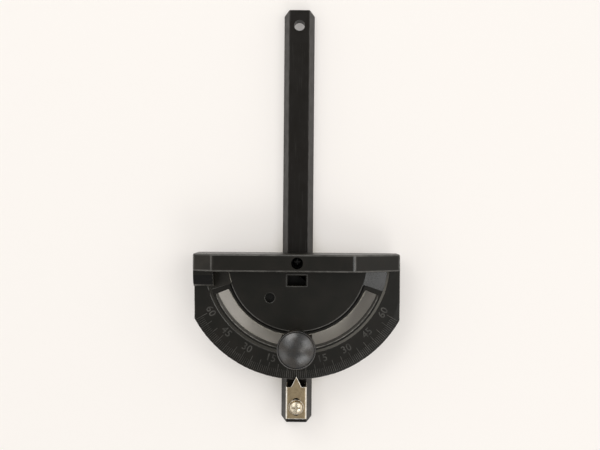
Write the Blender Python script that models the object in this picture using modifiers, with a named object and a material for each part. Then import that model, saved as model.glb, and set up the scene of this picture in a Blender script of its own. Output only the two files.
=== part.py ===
"""Miter gauge for a bench saw: a tapered guide bar, a half-round swivelling head with its fence,
a domed lock knob on a stud, and a folded sheet pointer.

Metres, +Z up. The origin is on the pivot axis at the underside of the bar. +Y runs along the bar
towards the blade, and -Y is the operator's end, with the scale and the pointer.
Angles on the head are measured at the pivot from -Y, positive towards +X.
"""

import math

import bmesh
import bpy
from mathutils import Matrix, Vector

# Clearances and drawing steps
RUNNING_GAP = 0.0003
CUT_MARGIN = 0.0020
ARC_STEP = math.radians(3.0)
ROUND_STEPS = 32
SMALL_ROUND_STEPS = 20
CORNER_STEPS = 4
SMALLEST_ROUND = 0.0005

# Guide bar, a long steel bar with sloping sides that runs in the table's groove
BAR_REACH = 0.1613
BAR_TAIL = 0.0060
BAR_BOTTOM_WIDTH = 0.0200
BAR_TOP_WIDTH = 0.0132
BAR_THICKNESS = 0.0090
BAR_CORNER_CUT = 0.0023
HANGING_HOLE_DIAMETER = 0.0070
HANGING_HOLE_INSET = 0.0099
TAPPED_HOLE_FLOOR = 0.0015

# Head, one black moulding
HEAD_THICKNESS = 0.0142
SCALE_LAND = 0.01565
SCALE_END_ANGLE = math.radians(60.8)
RIM_CORNER_ROUND = 0.0040
SCALE_WIDTH = 0.0054
SCALE_SLOPE = math.radians(10.0)
SKIN = 0.0030
WALL = 0.0030
RIB = 0.0020

# Fence across the front of the head
FENCE_THICKNESS = 0.0110
FENCE_RISE = 0.0155
FENCE_LEFT_SLOPE = 0.0124
FENCE_LEFT_DROP = 0.0060
FENCE_RIGHT_SLOPE = 0.0294
FENCE_EDGE_ROUND = 0.0011

# Buttress behind the tall end of the fence
BUTTRESS_DEPTH = 0.0100
BUTTRESS_RISE = 0.0078
BUTTRESS_NOSE = 0.0014
BUTTRESS_EDGE_ROUND = 0.0006
BUTTRESS_STEPS = 6

# Arc slot that the stud passes through, and the channel that the clamp washer slides in
SLOT_RADIUS = 0.0508
SWING_LIMIT = math.radians(63.4)
SLOT_SIDE_GAP = 0.0012
SLOT_END_GAP = 0.0011
CHANNEL_SIDE_GAP = 0.0004
CHANNEL_END_GAP = 0.0017
CHANNEL_DEPTH = 0.0025
CHANNEL_CHAMFER = 0.0014
CHANNEL_LIP = 0.0015

# Sloping shoulders between the ends of the channel and the fence
SHOULDER_INNER_DEPTH = 0.0006
SHOULDER_OUTER_DEPTH = 0.0023

# Window behind the fence and the blind hole in the middle plate
WINDOW_LEFT = 0.0060
WINDOW_RIGHT = 0.0055
WINDOW_SETBACK = 0.0032
WINDOW_DEPTH = 0.0058
WINDOW_CHAMFER = 0.0004
BLIND_HOLE_X = -0.0170
BLIND_HOLE_Y = -0.0225
BLIND_HOLE_DIAMETER = 0.0060
BLIND_HOLE_DEPTH = 0.0060
BLIND_HOLE_CHAMFER = 0.0004

# Ribs under the head
MIDDLE_RING_RADIUS = 0.0210
INNER_RIB_ANGLE = math.radians(38.0)
OUTER_RIB_PITCH = math.radians(30.0)
OUTER_RIB_PAIRS = 2
RIM_RIB_PITCH = math.radians(20.0)
RIM_RIB_PAIRS = 3
FENCE_RIB_PITCH = 0.0200
FENCE_RIB_PAIRS = 2

# Pivot screw, in a deep bore in the top of the fence
PIVOT_BORE_DIAMETER = 0.0073
PIVOT_SEAT = 0.0087
PIVOT_THREAD_DIAMETER = 0.0040
PIVOT_HEAD_DIAMETER = 0.0064
PIVOT_HEAD_HEIGHT = 0.0024

# Lock knob, its moulded-in stud and the clamp washer
STUD_DIAMETER = 0.0060
STUD_IN_KNOB = 0.0160
STUD_TIP_HEIGHT = 0.0015
WASHER_DIAMETER = 0.0110
WASHER_THICKNESS = 0.0016
KNOB_HEIGHT = 0.0321
KNOB_TOP_DIAMETER = 0.0234
KNOB_CROWN = 0.0028
KNOB_GRIP_HEIGHT = 0.0040
KNOB_EDGE_ROUND = 0.0013
KNOB_FOOT_INSET = 0.0002
KNOB_FOOT_HEIGHT = 0.0045
KNOB_CROWN_STEPS = 5
KNOB_EDGE_STEPS = 3
KNOB_FLARE_STEPS = 8

# Pointer, a folded sheet bracket that stands on the bar
SHEET = 0.0010
POINTER_INSET = 0.0001
POINTER_LENGTH = 0.0200
POINTER_LIFT = 0.0008
POINTER_BEND_RADIUS = 0.0013
POINTER_BEND_STEPS = 4
TIP_LENGTH = 0.0066
TIP_WIDTH = 0.0064
TIP_OVER_RIM = 0.0024
TIP_DROP = 0.0004
ADJUST_SLOT_WIDTH = 0.0046
ADJUST_SLOT_LENGTH = 0.0112
ADJUST_SLOT_BACK = 0.0076

# Pointer screw and washer
POINTER_THREAD_DIAMETER = 0.0040
POINTER_HEAD_DIAMETER = 0.0078
POINTER_HEAD_HEIGHT = 0.0026
POINTER_WASHER_DIAMETER = 0.0094
POINTER_WASHER_THICKNESS = 0.0008

# Cross recess of both screws: its arms narrow towards their ends
RECESS_BLADE = 0.0010
RECESS_END = 0.0008
RECESS_DEPTH = 0.0014
RECESS_EDGE = 0.0011
PAN_CROWN_SHARE = 0.6
PAN_STEPS = 4

# Heights, from the underside of the bar
HEAD_UNDERSIDE = BAR_THICKNESS + RUNNING_GAP
PLATE_TOP = HEAD_UNDERSIDE + HEAD_THICKNESS
FENCE_TOP = PLATE_TOP + FENCE_RISE
LEDGE_TOP = PLATE_TOP - CHANNEL_DEPTH
PLATE_CEILING = PLATE_TOP - SKIN
PIVOT_SEAT_TOP = HEAD_UNDERSIDE + PIVOT_SEAT
CAVITY_FLOOR = HEAD_UNDERSIDE - CUT_MARGIN
CUT_TOP = FENCE_TOP + CUT_MARGIN

# Radii of the slot, the channel and the rim, and half the width of the head
SLOT_WIDTH = STUD_DIAMETER + 2 * SLOT_SIDE_GAP
SLOT_INNER = SLOT_RADIUS - SLOT_WIDTH / 2
SLOT_OUTER = SLOT_RADIUS + SLOT_WIDTH / 2
CHANNEL_INNER = SLOT_RADIUS - WASHER_DIAMETER / 2 - CHANNEL_SIDE_GAP
CHANNEL_OUTER = SLOT_RADIUS + WASHER_DIAMETER / 2 + CHANNEL_SIDE_GAP
CHANNEL_RIM = CHANNEL_OUTER + CHANNEL_CHAMFER
CHANNEL_CREST = CHANNEL_INNER - CHANNEL_CHAMFER
RIM_RADIUS = CHANNEL_RIM + SCALE_LAND
HALF_WIDTH = RIM_RADIUS * math.sin(SCALE_END_ANGLE)
SLOT_END = SWING_LIMIT + math.asin((STUD_DIAMETER / 2 + SLOT_END_GAP) / SLOT_RADIUS)
CHANNEL_END = SWING_LIMIT + math.asin((WASHER_DIAMETER / 2 + CHANNEL_END_GAP) / SLOT_RADIUS)
MIDDLE_CAVITY_RADIUS = CHANNEL_CREST - CHANNEL_LIP

# Places across and along the gauge
FENCE_BACK = -FENCE_THICKNESS / 2
FENCE_FLAT_LEFT = HALF_WIDTH - FENCE_LEFT_SLOPE
FENCE_FLAT_RIGHT = HALF_WIDTH - FENCE_RIGHT_SLOPE
POINTER_TIP_Y = -(RIM_RADIUS - TIP_OVER_RIM)
POINTER_FRONT_Y = POINTER_TIP_Y - TIP_LENGTH
POINTER_REAR_Y = POINTER_FRONT_Y - POINTER_LENGTH
POINTER_SCREW_Y = POINTER_REAR_Y + ADJUST_SLOT_BACK
BAR_REAR_Y = POINTER_REAR_Y - BAR_TAIL
HANGING_HOLE_Y = BAR_REACH - HANGING_HOLE_INSET
STUD_Y = -SLOT_RADIUS

# Rotations that stand a flat outline up: the first keeps X and lifts Y to Z, the second turns
# (first, second) into (Y, Z) and extrudes along X
STAND_ALONG_Y = Matrix.Rotation(math.radians(90.0), 4, "X")
STAND_ALONG_X = Matrix(((0, 0, 1, 0), (1, 0, 0, 0), (0, 1, 0, 0), (0, 0, 0, 1)))


def clear_scene():
    for item in list(bpy.data.objects):
        bpy.data.objects.remove(item, do_unlink=True)


def new_collection(name):
    collection = bpy.data.collections.new(name)
    bpy.context.scene.collection.children.link(collection)
    return collection


clear_scene()
PARTS = new_collection("miter_gauge")
CUTTERS = new_collection("miter_gauge_cutters")


def principled(name, colour, roughness, metallic):
    material = bpy.data.materials.new(name)
    material.use_nodes = True
    shader = material.node_tree.nodes["Principled BSDF"]
    shader.inputs["Base Color"].default_value = (*colour, 1.0)
    shader.inputs["Roughness"].default_value = roughness
    shader.inputs["Metallic"].default_value = metallic
    return material


def as_part(item, material):
    """Keep an object as a finished piece with its own material."""
    PARTS.objects.link(item)
    item.data.materials.clear()
    item.data.materials.append(material)
    return item


def as_cutter(item):
    """Keep an object only as a tool for a Boolean."""
    CUTTERS.objects.link(item)
    item.hide_render = True
    item.display_type = "WIRE"
    return item


def combine(target, tool, operation):
    step = target.modifiers.new(tool.name, "BOOLEAN")
    step.operation = operation
    step.solver = "EXACT"
    step.object = tool


def cut(target, tool):
    combine(target, as_cutter(tool), "DIFFERENCE")


def add(target, tool):
    combine(target, as_cutter(tool), "UNION")


def polar(radius, angle):
    """A point on the head at a radius from the pivot and an angle from -Y."""
    return (radius * math.sin(angle), -radius * math.cos(angle))


def arc(radius, start, end, centre=(0.0, 0.0)):
    """Points on an arc about a centre, with both ends, in even steps no longer than ARC_STEP."""
    steps = max(2, math.ceil(abs(end - start) / ARC_STEP - 1e-6))
    return stepped_arc(radius, start, end, centre, steps)


def stepped_arc(radius, start, end, centre, steps):
    """The same with a stated number of steps, for a small round."""
    points = []
    for index in range(steps + 1):
        x, y = polar(radius, start + (end - start) * index / steps)
        points.append((centre[0] + x, centre[1] + y))
    return points


def prism(name, outline, low, high, stand=None):
    """A flat outline extruded from low to high along Z, then stood up if asked."""
    curve = bpy.data.curves.new(name, "CURVE")
    curve.dimensions = "2D"
    curve.fill_mode = "BOTH"
    curve.extrude = (high - low) / 2
    spline = curve.splines.new("POLY")
    spline.points.add(len(outline) - 1)
    for point, (x, y) in zip(spline.points, outline):
        point.co = (x, y, 0.0, 1.0)
    spline.use_cyclic_u = True
    drawn = bpy.data.objects.new(name + "_outline", curve)
    bpy.context.scene.collection.objects.link(drawn)
    evaluated = drawn.evaluated_get(bpy.context.evaluated_depsgraph_get())
    mesh = bpy.data.meshes.new_from_object(evaluated)
    bpy.data.objects.remove(drawn, do_unlink=True)
    mesh.name = name
    mesh.transform(Matrix.Translation((0.0, 0.0, (low + high) / 2)))
    if stand is not None:
        mesh.transform(stand)
    work = bmesh.new()
    work.from_mesh(mesh)
    bmesh.ops.remove_doubles(work, verts=work.verts, dist=1e-6)
    bmesh.ops.recalc_face_normals(work, faces=work.faces)
    work.to_mesh(mesh)
    work.free()
    return bpy.data.objects.new(name, mesh)


def block(name, low, high):
    """A box between two corners."""
    work = bmesh.new()
    bmesh.ops.create_cube(work, size=1.0)
    sizes = [b - a for a, b in zip(low, high)]
    middle = [(a + b) / 2 for a, b in zip(low, high)]
    bmesh.ops.scale(work, vec=sizes, verts=work.verts)
    bmesh.ops.translate(work, vec=middle, verts=work.verts)
    mesh = bpy.data.meshes.new(name)
    work.to_mesh(mesh)
    work.free()
    return bpy.data.objects.new(name, mesh)


def radial_bars(name, angles, start, end, width, low, high):
    """Straight bars that run outwards from the pivot, one at each angle, as one mesh."""
    work = bmesh.new()
    for angle in angles:
        made = bmesh.ops.create_cube(work, size=1.0)["verts"]
        bmesh.ops.scale(work, vec=(width, end - start, high - low), verts=made)
        bmesh.ops.translate(work, vec=(0.0, -(start + end) / 2, (low + high) / 2), verts=made)
        turn = Matrix.Rotation(angle, 3, "Z")
        bmesh.ops.rotate(work, cent=(0.0, 0.0, 0.0), matrix=turn, verts=made)
    mesh = bpy.data.meshes.new(name)
    work.to_mesh(mesh)
    work.free()
    return bpy.data.objects.new(name, mesh)


def turned(name, profile, steps=ROUND_STEPS, closed=False):
    """A profile of (radius, height) points, listed top to bottom, turned about Z."""
    mesh = bpy.data.meshes.new(name)
    work = bmesh.new()
    points = [work.verts.new((radius, 0.0, height)) for radius, height in profile]
    for first, second in zip(points, points[1:]):
        work.edges.new((first, second))
    if closed:
        work.edges.new((points[-1], points[0]))
    work.to_mesh(mesh)
    work.free()
    item = bpy.data.objects.new(name, mesh)
    screw = item.modifiers.new("turn", "SCREW")
    screw.axis = "Z"
    screw.steps = steps
    screw.render_steps = steps
    screw.use_merge_vertices = True
    screw.merge_threshold = 1e-6
    screw.use_smooth_shade = True
    return item


def ring(name, section, steps):
    """A closed section of (radius, height) points turned all the way round Z."""
    return turned(name, section, steps, closed=True)


def swept_sector(name, section, start, end):
    """A closed section of (radius, height) points swept about Z between two angles."""
    work = bmesh.new()
    corners = [work.verts.new((*polar(radius, start), height)) for radius, height in section]
    face = work.faces.new(corners)
    steps = math.ceil((end - start) / ARC_STEP)
    geometry = [face, *face.edges, *face.verts]
    bmesh.ops.spin(
        work, geom=geometry, cent=(0, 0, 0), axis=(0, 0, 1), dvec=(0, 0, 0),
        angle=end - start, steps=steps, use_duplicate=False,
    )
    bmesh.ops.recalc_face_normals(work, faces=work.faces)
    mesh = bpy.data.meshes.new(name)
    work.to_mesh(mesh)
    work.free()
    return bpy.data.objects.new(name, mesh)


def round_edges(item, width, segments, angle=math.radians(20.0)):
    bevel = item.modifiers.new("round_edges", "BEVEL")
    bevel.width = width
    bevel.segments = segments
    bevel.limit_method = "ANGLE"
    bevel.angle_limit = angle


def head_outline(inset, back):
    """The head seen from above, all round moved in by inset, up to the line y = back."""
    half = HALF_WIDTH - inset
    radius = RIM_RADIUS - inset
    corner = max(RIM_CORNER_ROUND - inset, SMALLEST_ROUND)
    corner_x = half - corner
    corner_y = -math.sqrt((radius - corner) ** 2 - corner_x ** 2)
    meeting = math.atan2(corner_x, -corner_y)
    left = stepped_arc(corner, -math.pi / 2, -meeting, (-corner_x, corner_y), CORNER_STEPS)
    right = stepped_arc(corner, meeting, math.pi / 2, (corner_x, corner_y), CORNER_STEPS)
    rim = arc(radius, -meeting, meeting)
    return [(-half, back), *left, *rim[1:-1], *right, (half, back)]


def ring_outline(inner, outer, start, end):
    return arc(outer, start, end) + arc(inner, end, start)


def half_disc_outline(radius, back):
    """A disc about the pivot as far as the line y = back."""
    reach = math.acos(-back / radius)
    return arc(radius, -reach, reach)


def band_outline(inner, outer, start, back, side):
    """The ring between two radii from an angle up to the line y = back, on one side."""
    outer_end = math.acos(-back / outer)
    inner_end = math.acos(-back / inner)
    points = arc(outer, start, outer_end) + arc(inner, inner_end, start)
    return [(side * x, y) for x, y in points]


def fence_crest(drop):
    """The fence's top seen from the front, lowered by drop: points from left to right."""
    left_end = FENCE_TOP - FENCE_LEFT_DROP
    return [
        (-HALF_WIDTH, left_end - drop), (-FENCE_FLAT_LEFT, FENCE_TOP - drop),
        (FENCE_FLAT_RIGHT, FENCE_TOP - drop), (HALF_WIDTH, PLATE_TOP - drop),
    ]


def crest_height(crest, x):
    for (x0, z0), (x1, z1) in zip(crest, crest[1:]):
        if x0 <= x <= x1:
            return z0 + (z1 - z0) * (x - x0) / (x1 - x0)
    return crest[-1][1]


def drilled(name, diameter, low, high, x=0.0, y=0.0, steps=SMALL_ROUND_STEPS):
    """A plain round cutter."""
    item = turned(name, [(0.0, high), (diameter / 2, high), (diameter / 2, low), (0.0, low)], steps)
    item.location = (x, y, 0.0)
    return item


def make_bar():
    """Sloping-sided section along Y, trimmed to its plan outline with cut corners."""
    low = BAR_BOTTOM_WIDTH / 2
    high = BAR_TOP_WIDTH / 2
    section = [(-low, 0.0), (low, 0.0), (high, BAR_THICKNESS), (-high, BAR_THICKNESS)]
    bar = prism("miter_bar", section, -BAR_REACH - CUT_MARGIN, -BAR_REAR_Y + CUT_MARGIN, STAND_ALONG_Y)
    plan = [
        (-high, BAR_REAR_Y), (high, BAR_REAR_Y), (low, BAR_REAR_Y + BAR_CORNER_CUT),
        (low, BAR_REACH - BAR_CORNER_CUT), (high, BAR_REACH), (-high, BAR_REACH),
        (-low, BAR_REACH - BAR_CORNER_CUT), (-low, BAR_REAR_Y + BAR_CORNER_CUT),
    ]
    trim = prism("bar_plan", plan, -CUT_MARGIN, BAR_THICKNESS + CUT_MARGIN)
    combine(bar, as_cutter(trim), "INTERSECT")
    above = BAR_THICKNESS + CUT_MARGIN
    cut(bar, drilled("hanging_hole", HANGING_HOLE_DIAMETER, -CUT_MARGIN, above, y=HANGING_HOLE_Y))
    pivot_hole = PIVOT_THREAD_DIAMETER + 2 * RUNNING_GAP
    cut(bar, drilled("pivot_tapping", pivot_hole, TAPPED_HOLE_FLOOR, above))
    stud_hole = STUD_DIAMETER + 2 * RUNNING_GAP
    cut(bar, drilled("stud_tapping", stud_hole, -CUT_MARGIN, above, y=STUD_Y))
    pointer_hole = POINTER_THREAD_DIAMETER + 2 * RUNNING_GAP
    cut(bar, drilled("pointer_tapping", pointer_hole, TAPPED_HOLE_FLOOR, above, y=POINTER_SCREW_Y))
    return bar


def make_plate():
    """The flat half-round body with its sloping scale edge, channel and shoulders."""
    plate = prism("miter_head", head_outline(0.0, 0.0), HEAD_UNDERSIDE, PLATE_TOP)
    above = PLATE_TOP + CUT_MARGIN
    bevel_start = RIM_RADIUS - SCALE_WIDTH
    bevel_end = RIM_RADIUS + CUT_MARGIN
    fall = (bevel_end - bevel_start) * math.tan(SCALE_SLOPE)
    section = [
        (bevel_start, above), (bevel_end, above), (bevel_end, PLATE_TOP - fall), (bevel_start, PLATE_TOP),
    ]
    cut(plate, ring("scale_slope", section, round(2 * math.pi / ARC_STEP)))
    flare = CHANNEL_CHAMFER * CUT_MARGIN / CHANNEL_DEPTH
    channel = [
        (CHANNEL_INNER, LEDGE_TOP), (CHANNEL_OUTER, LEDGE_TOP),
        (CHANNEL_RIM + flare, above), (CHANNEL_CREST - flare, above),
    ]
    cut(plate, swept_sector("washer_channel", channel, -CHANNEL_END, CHANNEL_END))
    outer_foot = CHANNEL_RIM - CHANNEL_CHAMFER * SHOULDER_OUTER_DEPTH / CHANNEL_DEPTH
    shoulder = [
        (CHANNEL_CREST, PLATE_TOP - SHOULDER_INNER_DEPTH),
        (outer_foot, PLATE_TOP - SHOULDER_OUTER_DEPTH),
        (CHANNEL_RIM + flare, above), (CHANNEL_CREST, above),
    ]
    overlap = ARC_STEP / 2
    past_fence = math.pi / 2 + ARC_STEP
    cut(plate, swept_sector("right_shoulder", shoulder, CHANNEL_END - overlap, past_fence))
    cut(plate, swept_sector("left_shoulder", shoulder, -past_fence, -CHANNEL_END + overlap))
    return plate


def make_fence():
    """The upright fence, full height over its middle and sloping down to both ends."""
    low = HEAD_UNDERSIDE - FENCE_THICKNESS
    profile = [(HALF_WIDTH, low), *reversed(fence_crest(0.0)), (-HALF_WIDTH, low)]
    fence = prism("fence", profile, -FENCE_THICKNESS / 2, FENCE_THICKNESS / 2, STAND_ALONG_Y)
    round_edges(fence, FENCE_EDGE_ROUND, 2)
    reach = HALF_WIDTH + CUT_MARGIN
    foot_low = (-reach, -FENCE_THICKNESS, low - CUT_MARGIN)
    foot_high = (reach, FENCE_THICKNESS, HEAD_UNDERSIDE)
    cut(fence, block("fence_foot", foot_low, foot_high))
    return fence


def make_buttress():
    """The block behind the fence's tall end, with a top that curves over to a short nose."""
    nose_top = PLATE_TOP + BUTTRESS_NOSE
    curve_rise = BUTTRESS_RISE - BUTTRESS_NOSE
    crown = []
    for index in range(BUTTRESS_STEPS + 1):
        turn = math.pi / 2 * index / BUTTRESS_STEPS
        y = FENCE_BACK - BUTTRESS_DEPTH * math.sin(turn)
        crown.append((y, nose_top + curve_rise * math.cos(turn)))
    inside_fence = FENCE_BACK + FENCE_THICKNESS / 4
    root = PLATE_CEILING + SKIN / 2
    profile = [
        (inside_fence, root), (inside_fence, PLATE_TOP + BUTTRESS_RISE), *crown,
        (FENCE_BACK - BUTTRESS_DEPTH, root),
    ]
    buttress = prism("buttress", profile, -HALF_WIDTH, -FENCE_FLAT_LEFT, STAND_ALONG_X)
    round_edges(buttress, BUTTRESS_EDGE_ROUND, 2)
    return buttress


def make_rim_cavity():
    """The hollow under the scale, between the slot's outer wall and the rim, crossed by ribs."""
    cavity = prism("rim_cavity", head_outline(WALL, FENCE_BACK), CAVITY_FLOOR, PLATE_CEILING)
    low = CAVITY_FLOOR - CUT_MARGIN
    high = PLATE_CEILING + CUT_MARGIN
    cut(cavity, drilled("slot_outer_wall", 2 * CHANNEL_RIM, low, high, steps=round(2 * math.pi / ARC_STEP)))
    angles = [RIM_RIB_PITCH * index for index in range(-RIM_RIB_PAIRS, RIM_RIB_PAIRS + 1)]
    reach = math.hypot(RIM_RADIUS, HALF_WIDTH)
    bars = radial_bars("rim_ribs", angles, CHANNEL_RIM - WALL, reach, RIB, low, high)
    cut(cavity, bars)
    return cavity


def make_middle_cavity():
    """The hollow under the middle plate, with its ribs and the bosses of the pivot and the hole."""
    outline = half_disc_outline(MIDDLE_CAVITY_RADIUS, FENCE_BACK)
    cavity = prism("middle_cavity", outline, CAVITY_FLOOR, PLATE_CEILING)
    low = CAVITY_FLOOR - CUT_MARGIN
    high = PLATE_CEILING + CUT_MARGIN
    pivot_boss = PIVOT_BORE_DIAMETER / 2 + WALL
    cut(cavity, drilled("pivot_boss", 2 * pivot_boss, low, high, steps=ROUND_STEPS))
    ring_inner = MIDDLE_RING_RADIUS - RIB / 2
    ring_outer = MIDDLE_RING_RADIUS + RIB / 2
    section = [(ring_inner, high), (ring_outer, high), (ring_outer, low), (ring_inner, low)]
    cut(cavity, ring("middle_ring_rib", section, ROUND_STEPS))
    inner = (-INNER_RIB_ANGLE, INNER_RIB_ANGLE)
    start = pivot_boss / 2
    cut(cavity, radial_bars("inner_ribs", inner, start, MIDDLE_RING_RADIUS, RIB, low, high))
    outer = [OUTER_RIB_PITCH * index for index in range(-OUTER_RIB_PAIRS, OUTER_RIB_PAIRS + 1)]
    end = MIDDLE_CAVITY_RADIUS + WALL
    cut(cavity, radial_bars("outer_ribs", outer, MIDDLE_RING_RADIUS, end, RIB, low, high))
    boss_floor = PLATE_TOP - BLIND_HOLE_DEPTH - SKIN
    boss_diameter = BLIND_HOLE_DIAMETER + 2 * WALL
    boss = drilled("blind_hole_boss", boss_diameter, boss_floor, high, BLIND_HOLE_X, BLIND_HOLE_Y)
    cut(cavity, boss)
    return cavity


def make_fence_cavity():
    """The hollow inside the fence, open below, with upright ribs and a solid middle for the bore."""
    half = HALF_WIDTH - WALL
    slope_skin = SKIN / math.cos(math.atan2(FENCE_RISE, FENCE_RIGHT_SLOPE))
    crest = fence_crest(slope_skin)
    inner = [(-half, crest_height(crest, -half)), crest[1], crest[2], (half, crest_height(crest, half))]
    profile = [(half, CAVITY_FLOOR), *reversed(inner), (-half, CAVITY_FLOOR)]
    reach = FENCE_THICKNESS / 2 - WALL
    cavity = prism("fence_cavity", profile, -reach, reach, STAND_ALONG_Y)
    centre = PIVOT_BORE_DIAMETER / 2 + WALL
    low = CAVITY_FLOOR - CUT_MARGIN
    cut(cavity, block("bore_block", (-centre, -FENCE_THICKNESS, low), (centre, FENCE_THICKNESS, CUT_TOP)))
    for index in range(1, FENCE_RIB_PAIRS + 1):
        for side in (-1, 1):
            x = side * (centre + FENCE_RIB_PITCH * index)
            name = f"fence_rib_{'left' if side < 0 else 'right'}_{index}"
            corner_a = (x - RIB / 2, -FENCE_THICKNESS, low)
            corner_b = (x + RIB / 2, FENCE_THICKNESS, CUT_TOP)
            cut(cavity, block(name, corner_a, corner_b))
    return cavity


def make_shoulder_cavity(name, side):
    """The hollow under one shoulder."""
    wall_angle = CHANNEL_END + WALL / SLOT_RADIUS
    ceiling = PLATE_TOP - SHOULDER_OUTER_DEPTH - SKIN
    outline = band_outline(
        MIDDLE_CAVITY_RADIUS + WALL, CHANNEL_RIM - WALL, wall_angle, FENCE_BACK, side
    )
    return prism(name, outline, CAVITY_FLOOR, ceiling)


def window_cutter():
    front = FENCE_BACK - WINDOW_SETBACK
    back = front - WINDOW_DEPTH
    low = (-WINDOW_LEFT, back, PLATE_CEILING - CUT_MARGIN)
    high = (WINDOW_RIGHT, front, CUT_TOP)
    return block("window", low, high)


def window_chamfer_cutter():
    """A shallow frame-shaped funnel that takes the edge off the window."""
    grow = WINDOW_CHAMFER + CUT_MARGIN
    front = FENCE_BACK - WINDOW_SETBACK
    back = front - WINDOW_DEPTH
    low = (-WINDOW_LEFT, back, PLATE_TOP - WINDOW_CHAMFER)
    high = (WINDOW_RIGHT, front, PLATE_TOP + CUT_MARGIN)
    funnel = block("window_chamfer", low, high)
    middle_x = (WINDOW_RIGHT - WINDOW_LEFT) / 2
    middle_y = (front + back) / 2
    for vertex in funnel.data.vertices:
        if vertex.co.z > PLATE_TOP:
            vertex.co.x += math.copysign(grow, vertex.co.x - middle_x)
            vertex.co.y += math.copysign(grow, vertex.co.y - middle_y)
    return funnel


def blind_hole_cutter():
    radius = BLIND_HOLE_DIAMETER / 2
    floor = PLATE_TOP - BLIND_HOLE_DEPTH
    grow = BLIND_HOLE_CHAMFER + CUT_MARGIN
    profile = [
        (0.0, PLATE_TOP + CUT_MARGIN), (radius + grow, PLATE_TOP + CUT_MARGIN),
        (radius, PLATE_TOP - BLIND_HOLE_CHAMFER), (radius, floor), (0.0, floor),
    ]
    item = turned("blind_hole", profile, SMALL_ROUND_STEPS)
    item.location = (BLIND_HOLE_X, BLIND_HOLE_Y, 0.0)
    return item


def make_head():
    head = make_plate()
    add(head, make_fence())
    add(head, make_buttress())
    slot = ring_outline(SLOT_INNER, SLOT_OUTER, -SLOT_END, SLOT_END)
    cut(head, prism("arc_slot", slot, CAVITY_FLOOR, CUT_TOP))
    cut(head, make_rim_cavity())
    cut(head, make_middle_cavity())
    cut(head, make_fence_cavity())
    cut(head, make_shoulder_cavity("right_shoulder_cavity", 1))
    cut(head, make_shoulder_cavity("left_shoulder_cavity", -1))
    cut(head, window_cutter())
    cut(head, window_chamfer_cutter())
    cut(head, blind_hole_cutter())
    cut(head, drilled("pivot_bore", PIVOT_BORE_DIAMETER, PIVOT_SEAT_TOP, CUT_TOP))
    shank_hole = PIVOT_THREAD_DIAMETER + 2 * RUNNING_GAP
    cut(head, drilled("pivot_shank_hole", shank_hole, CAVITY_FLOOR, CUT_TOP))
    return head


def cross_recess(name, diameter, top, y):
    """The four-armed recess in the top of a screw's head."""
    reach = diameter / 2 - RECESS_EDGE
    root = RECESS_BLADE / 2
    end = RECESS_END / 2
    quarter = [(root, root), (end, reach), (-end, reach)]
    outline = []
    for turn in range(4):
        spin = Matrix.Rotation(math.pi / 2 * turn, 2)
        outline += [tuple(spin @ Vector(point)) for point in quarter]
    recess = prism(name, outline, top - RECESS_DEPTH, top + CUT_MARGIN)
    recess.location = (0.0, y, 0.0)
    return recess


def pan_screw(name, head_diameter, head_height, thread_diameter, seat, tip, y):
    """A pan-head screw whose head sits at seat and whose shank ends at tip."""
    radius = head_diameter / 2
    shank = thread_diameter / 2
    top = seat + head_height
    point = shank / 4
    crown = head_height * PAN_CROWN_SHARE
    profile = [(0.0, top)]
    for index in range(1, PAN_STEPS + 1):
        turn = math.pi / 2 * index / PAN_STEPS
        profile.append((radius * math.sin(turn), top - crown * (1 - math.cos(turn))))
    profile += [
        (radius, seat), (shank, seat), (shank, tip + point), (shank - point, tip), (0.0, tip),
    ]
    screw = turned(name, profile, SMALL_ROUND_STEPS)
    screw.location = (0.0, y, 0.0)
    cut(screw, cross_recess(name + "_recess", head_diameter, top, 0.0))
    screw.modifiers[-1].object.parent = screw
    return screw


def flat_washer(name, diameter, bore, thickness, seat, y):
    outer = diameter / 2
    inner = bore / 2
    section = [(inner, seat + thickness), (outer, seat + thickness), (outer, seat), (inner, seat)]
    washer = ring(name, section, ROUND_STEPS)
    washer.location = (0.0, y, 0.0)
    return washer


def make_knob(seat):
    """A plastic knob: domed top, short grip, and a body that narrows to its foot."""
    top_radius = KNOB_TOP_DIAMETER / 2
    foot_radius = WASHER_DIAMETER / 2 - KNOB_FOOT_INSET
    crown_base = seat + KNOB_HEIGHT - KNOB_CROWN
    flat_radius = top_radius - KNOB_EDGE_ROUND
    profile = []
    for index in range(KNOB_CROWN_STEPS + 1):
        radius = flat_radius * index / KNOB_CROWN_STEPS
        profile.append((radius, crown_base + KNOB_CROWN * (1 - (radius / flat_radius) ** 2)))
    for index in range(1, KNOB_EDGE_STEPS + 1):
        turn = math.pi / 2 * index / KNOB_EDGE_STEPS
        radius = flat_radius + KNOB_EDGE_ROUND * math.sin(turn)
        profile.append((radius, crown_base - KNOB_EDGE_ROUND * (1 - math.cos(turn))))
    grip_end = crown_base - KNOB_GRIP_HEIGHT
    foot_top = seat + KNOB_FOOT_HEIGHT
    for index in range(KNOB_FLARE_STEPS + 1):
        share = index / KNOB_FLARE_STEPS
        ease = (1 + math.cos(math.pi * share)) / 2
        radius = foot_radius + (top_radius - foot_radius) * ease
        profile.append((radius, grip_end + (foot_top - grip_end) * share))
    profile += [(foot_radius, seat), (0.0, seat)]
    knob = turned("lock_knob", profile, ROUND_STEPS)
    knob.location = (0.0, STUD_Y, 0.0)
    socket = STUD_DIAMETER + 2 * RUNNING_GAP
    socket_top = seat + STUD_IN_KNOB + RUNNING_GAP
    hole = drilled("stud_socket", socket, seat - CUT_MARGIN, socket_top)
    cut(knob, hole)
    hole.parent = knob
    return knob


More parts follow.
